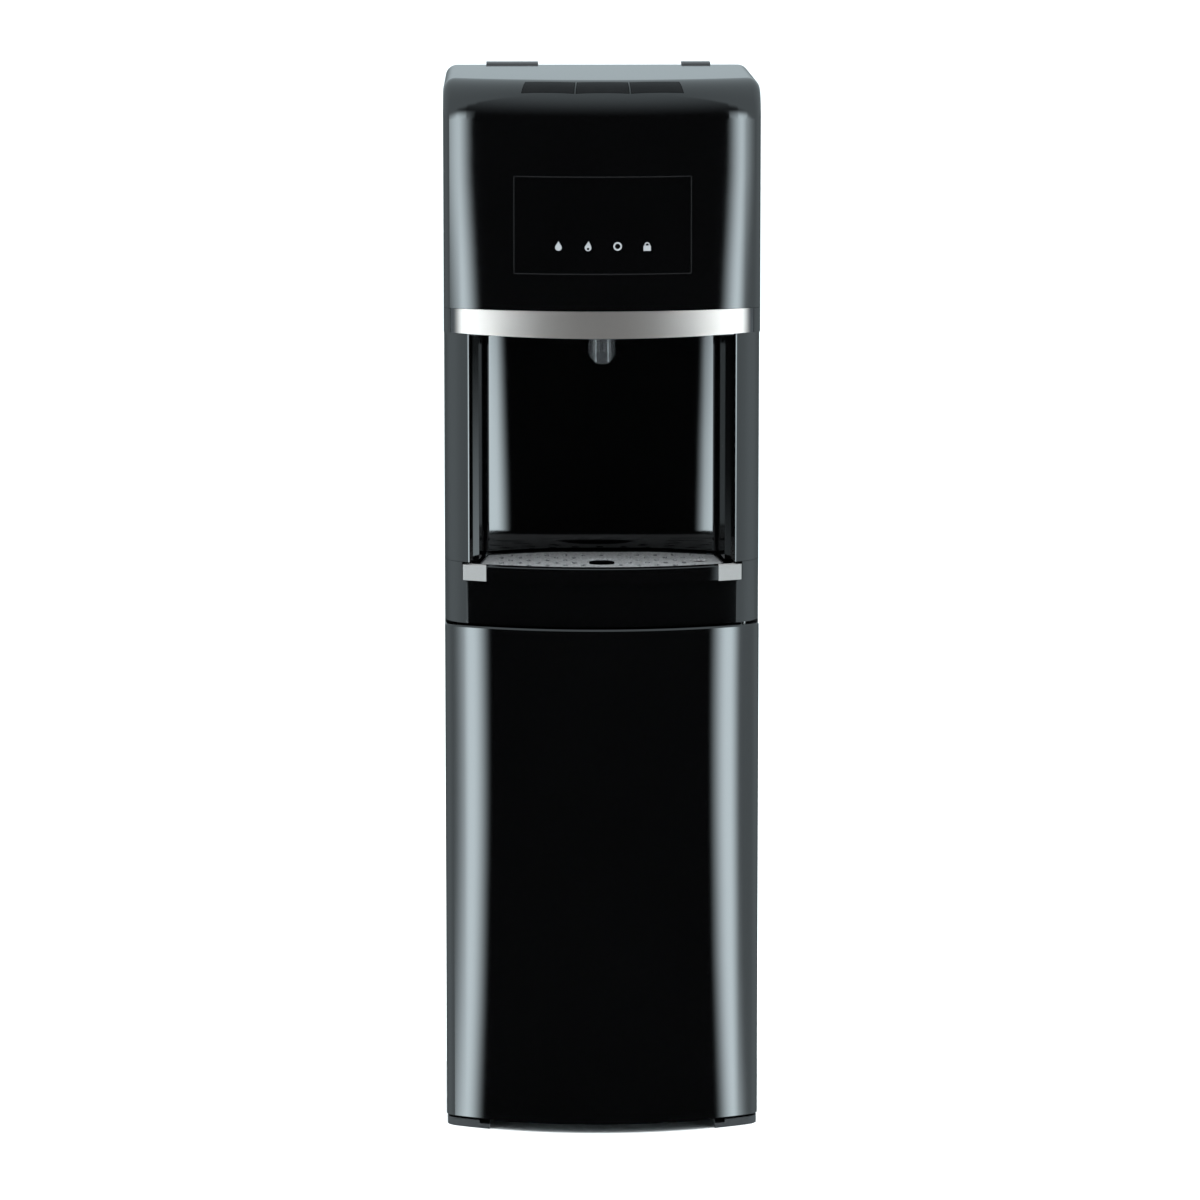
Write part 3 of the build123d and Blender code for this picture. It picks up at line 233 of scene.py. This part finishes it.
def satin_silver():
    """Silver-lacquered trim with a fine grain along its length, with painted shade darkening its colour at
    its two ends.
    """
    material, graph, shader = finish("satin_silver")
    grain = graph.noise(scale=1.0, detail=3.0, rough=0.6, where=graph.place(scale=(60, 60, 2600)))
    fleck = graph.noise(scale=2600.0, detail=2.0)
    bright = graph.blend(fleck, (0.86, 0.77, 0.72), (0.98, 0.88, 0.83))
    spot = graph.node("ShaderNodeSeparateXYZ", Vector=graph.place())
    aside = graph.math("ABSOLUTE", spot.outputs["X"])
    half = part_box("trim_band")[1].x
    # painted shade: the colour turns dark towards both ends of the band, standing in for a dimmer
    # reflection there
    painted_shade = graph.step(aside, start=half - TRIM_PAINTED_SHADE_START, end=half - TRIM_PAINTED_SHADE_FULL)
    tone = graph.blend(painted_shade, bright, (0.05, 0.05, 0.052))
    rough = graph.between(grain, low=0.4, high=0.5)
    relief = graph.bump(grain, strength=0.07, distance=0.0004)
    surface(graph, shader, tone, rough, relief, Metallic=0.95)
    return material


def display_glass():
    """Black display glass with a fine grey line printed round its edge."""
    material, graph, shader = finish("display_glass")
    low, high = (Vector(corner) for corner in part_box("display_window"))
    middle = (low + high) / 2
    half_width = high.x - middle.x
    half_height = high.z - middle.z
    spot = graph.node("ShaderNodeSeparateXYZ", Vector=graph.place())
    aside = graph.math("ABSOLUTE", graph.math("SUBTRACT", spot.outputs["X"], middle.x))
    above = graph.math("ABSOLUTE", graph.math("SUBTRACT", spot.outputs["Z"], middle.z))
    from_side = graph.math("SUBTRACT", half_width, aside)
    from_top = graph.math("SUBTRACT", half_height, above)
    from_edge = graph.math("MINIMUM", from_side, from_top)
    begun = graph.step(from_edge, *EDGE_LINE_START)
    ended = graph.step(from_edge, *EDGE_LINE_END)
    line = graph.math("SUBTRACT", begun, ended, clamp=True)
    ink = graph.blend(graph.noise(scale=400.0), (0.009, 0.009, 0.0095), (0.014, 0.014, 0.0145))
    glass = graph.blend(graph.noise(scale=9.0), (0.0008, 0.0008, 0.0009), (0.0014, 0.0014, 0.0015))
    tone = graph.blend(line, glass, ink)
    rough = graph.between(graph.noise(scale=70.0, detail=3.0), low=0.025, high=0.045)
    surface(graph, shader, tone, rough, IOR=1.5)
    return material


def key_black():
    """Matt black keys that stay dark under the ceiling's light."""
    material, graph, shader = finish("key_black")
    tone = graph.blend(graph.noise(scale=60.0, detail=3.0), (0.002, 0.002, 0.0022), (0.004, 0.004, 0.0043))
    rough = graph.between(graph.noise(scale=500.0, detail=3.0), low=0.42, high=0.55)
    grain = graph.bump(graph.noise(scale=2200.0), strength=0.12, distance=0.0002)
    surface(graph, shader, tone, rough, grain, Specular_IOR_Level=0.1)
    return material


def lip_silver():
    """Matt silver paint on the two ends of the tray's lip."""
    material, graph, shader = finish("lip_silver")
    fleck = graph.noise(scale=1400.0, detail=3.0, rough=0.7)
    tone = graph.blend(fleck, (0.2, 0.2, 0.198), (0.33, 0.33, 0.325))
    rough = graph.between(fleck, low=0.5, high=0.62)
    relief = graph.bump(fleck, strength=0.15, distance=0.0003)
    surface(graph, shader, tone, rough, relief, Specular_IOR_Level=0.2)
    return material


def smoked():
    """Smoke-tinted polycarbonate."""
    material, graph, shader = finish("smoked")
    tone = graph.blend(graph.noise(scale=25.0), (0.05, 0.052, 0.055), (0.075, 0.078, 0.082))
    haze = graph.between(graph.noise(scale=80.0, detail=3.0), low=0.04, high=0.09)
    relief = graph.bump(graph.noise(scale=18.0), strength=0.03, distance=0.002)
    surface(graph, shader, tone, haze, relief, IOR=1.5, Alpha=0.62)
    return material


def icon_white():
    """White ink lit from behind."""
    material, graph, shader = finish("icon_white")
    tone = graph.blend(graph.noise(scale=900.0, detail=3.0), (0.24, 0.25, 0.26), (0.4, 0.41, 0.42))
    rough = graph.between(graph.noise(scale=500.0), low=0.35, high=0.5)
    surface(graph, shader, tone, rough)
    return material


def board_green():
    """Solder mask over copper tracks."""
    material, graph, shader = finish("board_green")
    tracks = graph.step(graph.cells(scale=420.0), start=0.28, end=0.36)
    tone = graph.blend(tracks, (0.03, 0.15, 0.06), (0.012, 0.075, 0.032))
    rough = graph.between(tracks, low=0.25, high=0.4)
    relief = graph.bump(tracks, strength=0.15, distance=0.0002)
    surface(graph, shader, tone, rough, relief)
    return material


def steel():
    """Brushed stainless steel."""
    material, graph, shader = finish("steel")
    grain = graph.noise(scale=1.0, detail=4.0, rough=0.65, where=graph.place(scale=(90, 90, 3200)))
    tone = graph.blend(grain, (0.42, 0.42, 0.415), (0.62, 0.62, 0.61))
    rough = graph.between(grain, low=0.2, high=0.36)
    relief = graph.bump(grain, strength=0.1, distance=0.0003)
    surface(graph, shader, tone, rough, relief, Metallic=1.0)
    return material


def grille_grey():
    """Grey metallic-flecked plastic of the drip grille, the probe's cap and its holder."""
    material, graph, shader = finish("grille_grey")
    fleck = graph.step(graph.noise(scale=420.0, detail=4.0, rough=0.7), start=0.36, end=0.66)
    cloud = graph.noise(scale=90.0, detail=3.0)
    base = graph.blend(fleck, (0.11, 0.11, 0.115), (0.62, 0.63, 0.64))
    tone = graph.blend(graph.between(cloud, low=0.05, high=0.45), base, (0.4, 0.41, 0.42))
    rough = graph.between(fleck, low=0.34, high=0.55)
    relief = graph.bump(fleck, strength=0.2, distance=0.0003)
    surface(graph, shader, tone, rough, relief, Metallic=0.35)
    return material


def plain_plastic(name, low, high, rough_low, rough_high):
    """Moulded plastic with a fine erosion texture and a slight mottle."""
    material, graph, shader = finish(name)
    tone = graph.blend(graph.noise(scale=30.0, detail=3.0), low, high)
    rough = graph.between(graph.noise(scale=260.0, detail=3.0, rough=0.6), low=rough_low, high=rough_high)
    relief = graph.bump(graph.noise(scale=1500.0), strength=0.15, distance=0.0003)
    surface(graph, shader, tone, rough, relief)
    return material


def foam():
    """Expanded polystyrene: pressed beads with dark seams."""
    material, graph, shader = finish("foam")
    bead = graph.cells(scale=240.0, feature="DISTANCE_TO_EDGE")
    seam = graph.step(bead, start=0.0, end=0.12)
    tone = graph.blend(seam, (0.62, 0.62, 0.6), (0.86, 0.86, 0.84))
    rough = graph.between(seam, low=0.9, high=0.7)
    relief = graph.bump(seam, strength=0.5, distance=0.0008)
    surface(graph, shader, tone, rough, relief)
    return material


def rubber():
    """Black rubber with a dusty bloom."""
    material, graph, shader = finish("rubber")
    bloom = graph.noise(scale=70.0, detail=5.0, rough=0.65)
    tone = graph.blend(bloom, (0.013, 0.013, 0.013), (0.032, 0.031, 0.03))
    rough = graph.between(bloom, low=0.6, high=0.85)
    relief = graph.bump(graph.noise(scale=1200.0), strength=0.2, distance=0.0003)
    surface(graph, shader, tone, rough, relief)
    return material


def silicone():
    """Milky food-grade silicone hose."""
    material, graph, shader = finish("silicone")
    tone = graph.blend(graph.noise(scale=80.0, detail=3.0), (0.56, 0.59, 0.6), (0.7, 0.72, 0.72))
    rough = graph.between(graph.noise(scale=300.0), low=0.3, high=0.45)
    surface(graph, shader, tone, rough, Subsurface_Weight=0.15)
    return material


def enamel_black(name, gloss):
    """Stoved enamel on the compressor and condenser."""
    material, graph, shader = finish(name)
    run = graph.noise(scale=55.0, detail=4.0, rough=0.6)
    tone = graph.blend(run, (0.01, 0.01, 0.0105), (0.02, 0.02, 0.021))
    rough = graph.between(run, low=gloss, high=gloss + 0.16)
    relief = graph.bump(graph.noise(scale=420.0, detail=3.0), strength=0.2, distance=0.0005)
    surface(graph, shader, tone, rough, relief)
    return material


def rocker_plastic(name, low, high):
    """Gloss-moulded switch rocker and float."""
    material, graph, shader = finish(name)
    tone = graph.blend(graph.noise(scale=160.0, detail=3.0), low, high)
    rough = graph.between(graph.noise(scale=400.0), low=0.16, high=0.28)
    surface(graph, shader, tone, rough)
    return material


def magnet():
    """Sintered ferrite, matt and slightly pitted."""
    material, graph, shader = finish("magnet")
    pit = graph.noise(scale=700.0, detail=5.0, rough=0.7)
    tone = graph.blend(pit, (0.035, 0.035, 0.038), (0.085, 0.085, 0.09))
    rough = graph.between(pit, low=0.6, high=0.8)
    relief = graph.bump(pit, strength=0.3, distance=0.0004)
    surface(graph, shader, tone, rough, relief)
    return material


def all_finishes():
    """The finish of each of the record's material slots."""
    return {
        "gloss_black": gloss_black(),
        "satin_black": satin_black(),
        "painted_black": painted_black(),
        "galvanised": galvanised(),
        "satin_silver": satin_silver(),
        "smoked": smoked(),
        "display_glass": display_glass(),
        "key_black": key_black(),
        "icon_white": icon_white(),
        "board_green": board_green(),
        "steel": steel(),
        "grey_plastic": grille_grey(),
        "liner_grey": plain_plastic("liner_grey", (0.42, 0.43, 0.44), (0.5, 0.51, 0.52), 0.34, 0.48),
        "white_plastic": plain_plastic("white_plastic", (0.68, 0.68, 0.66), (0.76, 0.76, 0.74), 0.3, 0.44),
        "foam": foam(),
        "rubber": rubber(),
        "silicone": silicone(),
        "compressor_black": enamel_black("compressor_black", 0.14),
        "coil_black": enamel_black("coil_black", 0.32),
        "rocker_red": rocker_plastic("rocker_red", (0.5, 0.018, 0.012), (0.62, 0.03, 0.02)),
        "rocker_green": rocker_plastic("rocker_green", (0.012, 0.22, 0.07), (0.02, 0.3, 0.1)),
        "magnet": magnet(),
    }


def paint_nodes(finishes):
    """Each CAD node takes its slot's finish, except that the two ends of the tray's lip have their own."""
    for part in NODES.values():
        for slot in part.material_slots:
            slot.material = finishes[slot.material.name]
    for slot in NODES["tray_trim_ends"].material_slots:
        slot.material = lip_silver()


# ---------------------------------------------------------------- studio
def strip_glow(graph, bearing, elevation):
    """The strip at this bearing and elevation, and a factor that is 1 beyond its outer edge."""
    above = graph.math("SUBTRACT", elevation, STRIP_HEIGHT)
    height = graph.math("MINIMUM", above, STRIP_BEND_TOP)
    bend = graph.math("MULTIPLY", height, height)
    inner = graph.math("SUBTRACT", bearing, graph.math("MULTIPLY", bend, STRIP_INNER_BEND))
    outer = graph.math("SUBTRACT", bearing, graph.math("MULTIPLY", bend, STRIP_OUTER_BEND))
    rise = graph.step(inner, *STRIP_RISE)
    fall = graph.step(outer, *STRIP_FALL)
    foot = graph.step(elevation, *STRIP_FOOT)
    length = graph.math("SUBTRACT", foot, graph.step(elevation, *STRIP_HEAD))
    width = graph.math("SUBTRACT", rise, fall, clamp=True)
    strip = graph.math("MULTIPLY", graph.math("MULTIPLY", width, length), STRIP_POWER)
    return strip, fall


def room_glow(graph, bearing, elevation):
    """The room beside the object, and behind it the dimmer rear wall."""
    rear = graph.between(graph.step(elevation, *REAR_EDGE), *REAR_GLOW)
    turn = graph.step(bearing, *ROOM_TURN)
    sides = graph.math("MULTIPLY", graph.math("SUBTRACT", 1.0, turn), ROOM_GLOW)
    return graph.math("ADD", sides, graph.math("MULTIPLY", turn, rear))


def studio_glow(graph):
    """How bright the studio is in each direction: dark card ahead, then strip, room, rear and ceiling."""
    direction = graph.node("ShaderNodeTexCoord").outputs["Generated"]
    parts = graph.node("ShaderNodeSeparateXYZ", Vector=direction)
    aside = graph.math("ABSOLUTE", parts.outputs["X"])
    ahead = graph.math("MULTIPLY", parts.outputs["Y"], -1.0)
    bearing = graph.math("DEGREES", graph.math("ARCTAN2", aside, ahead))
    elevation = graph.math("DEGREES", graph.math("ARCSINE", parts.outputs["Z"]))
    strip, past_strip = strip_glow(graph, bearing, elevation)
    beside = graph.math("MULTIPLY", past_strip, room_glow(graph, bearing, elevation))
    walls = graph.math("ADD", graph.math("ADD", strip, beside), DARK_CARD)
    up = graph.step(elevation, *CEILING_EDGE)
    below = graph.math("MULTIPLY", graph.math("SUBTRACT", 1.0, up), walls)
    return graph.math("ADD", below, graph.math("MULTIPLY", up, CEILING_GLOW))


def make_world():
    """White to the camera; to the object the tinted studio."""
    world = bpy.data.worlds.new("studio")
    bpy.context.scene.world = world
    world.use_nodes = True
    graph = Graph(world.node_tree)
    glow = studio_glow(graph)
    seen = graph.node("ShaderNodeLightPath").outputs["Is Camera Ray"]
    unseen = graph.math("SUBTRACT", 1.0, seen)
    strength = graph.math("ADD", graph.math("MULTIPLY", unseen, glow), seen)
    tint = graph.blend(seen, STUDIO_TINT, WHITE)
    back = graph.node("ShaderNodeBackground", Color=tint, Strength=strength)
    output = graph.node("ShaderNodeOutputWorld")
    graph.tree.links.new(back.outputs["Background"], output.inputs["Surface"])


def make_floor():
    """Plain white floor that gloss surfaces don't mirror."""
    mesh = bpy.data.meshes.new("floor")
    turns = ((-1, -1), (1, -1), (1, 1), (-1, 1))
    corners = [(x * FLOOR_REACH, y * FLOOR_REACH, LOW.z) for x, y in turns]
    mesh.from_pydata(corners, [], [(0, 1, 2, 3)])
    floor = bpy.data.objects.new("floor", mesh)
    bpy.context.scene.collection.objects.link(floor)
    material, graph, shader = finish("floor_white")
    surface(graph, shader, FLOOR_WHITE, FLOOR_ROUGHNESS)
    mesh.materials.append(material)
    floor.visible_glossy = False


def add_soft_light(name, place, target, size, power):
    """An area light that neither the camera nor a reflection sees."""
    lamp = bpy.data.lights.new(name, "AREA")
    lamp.shape = "RECTANGLE"
    lamp.size, lamp.size_y = size
    lamp.energy = power
    light = bpy.data.objects.new(name, lamp)
    light.location = place
    light.rotation_euler = (Vector(target) - Vector(place)).to_track_quat("-Z", "Y").to_euler()
    light.visible_camera = False
    light.visible_glossy = False
    bpy.context.scene.collection.objects.link(light)


def add_sky_light():
    """Even light from overhead that keeps the whole floor white."""
    lamp = bpy.data.lights.new("sky", "SUN")
    lamp.energy = SKY_STRENGTH
    lamp.angle = SKY_SPREAD
    light = bpy.data.objects.new("sky", lamp)
    light.visible_glossy = False
    bpy.context.scene.collection.objects.link(light)


def make_camera():
    """A long lens at standing eye height, looking slightly down."""
    lens = bpy.data.cameras.new("camera")
    lens.lens = FOCAL_LENGTH
    lens.clip_end = CLIP_END
    camera = bpy.data.objects.new("camera", lens)
    place = Vector((SIDE_STEP, LOW.y - CAMERA_DISTANCE, EYE_HEIGHT))
    aim = Vector((AIM_STEP, LOW.y, AIM_HEIGHT))
    camera.location = place
    camera.rotation_euler = (aim - place).to_track_quat("-Z", "Y").to_euler()
    bpy.context.scene.collection.objects.link(camera)
    bpy.context.scene.camera = camera


make_camera()
make_world()
make_floor()
add_sky_light()
add_soft_light("overhead", OVERHEAD_PLACE, OVERHEAD_TARGET, OVERHEAD_SIZE, OVERHEAD_POWER)
bpy.context.scene.view_settings.view_transform = "Standard"
paint_nodes(all_finishes())
